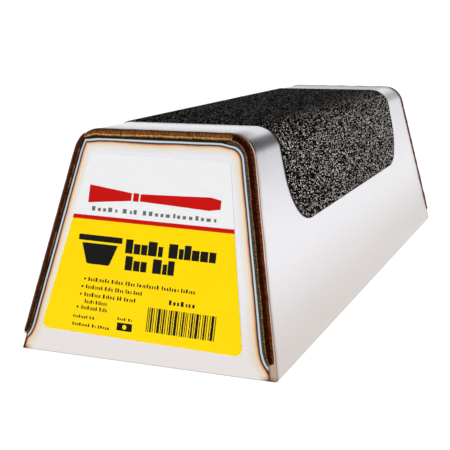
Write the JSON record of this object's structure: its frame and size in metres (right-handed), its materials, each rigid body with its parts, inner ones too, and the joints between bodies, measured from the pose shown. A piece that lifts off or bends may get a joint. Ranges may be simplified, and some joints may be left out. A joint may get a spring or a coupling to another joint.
{
  "type": "mud pan",
  "caption": "Stainless steel drywall mud pan: tapered trough bent from one sheet, flat welded ends, straight sheared rim, wrap-around anti-slip pad and an end label.",
  "frame": {"origin": "centre of the rim plane, on the surface that the upturned pan rests on", "axes": "+X along the pan's length, from the labelled end towards the plain end; +Y across its width; +Z from the open rim to the flat bottom, because the pan is stored upside down with its mouth facing -Z"},
  "size_m": [0.3048, 0.106, 0.0857],
  "materials": {
    "body_steel": "bright cold-rolled stainless sheet with a faint straight grain",
    "plate_steel": "bright cold-rolled stainless sheet with heat colours beside the weld",
    "weld_metal": "rippled weld bead with brown and blue-black heat oxide",
    "grip_film": "black plastic film, cut edge",
    "grip_grit": "black resin coat full of mineral grains",
    "label_print": "smooth printed film, yellow below and white above"
  },
  "bodies": {
    "root": {"body_sheet": "body_steel", "near_end_plate": "plate_steel", "far_end_plate": "plate_steel", "near_weld_left": "weld_metal", "near_weld_bottom": "weld_metal", "near_weld_right": "weld_metal", "far_weld_left": "weld_metal", "far_weld_bottom": "weld_metal", "far_weld_right": "weld_metal", "grip_film": "grip_film", "grip_grit": "grip_grit", "end_label": "label_print"}
  },
  "joints": []
}
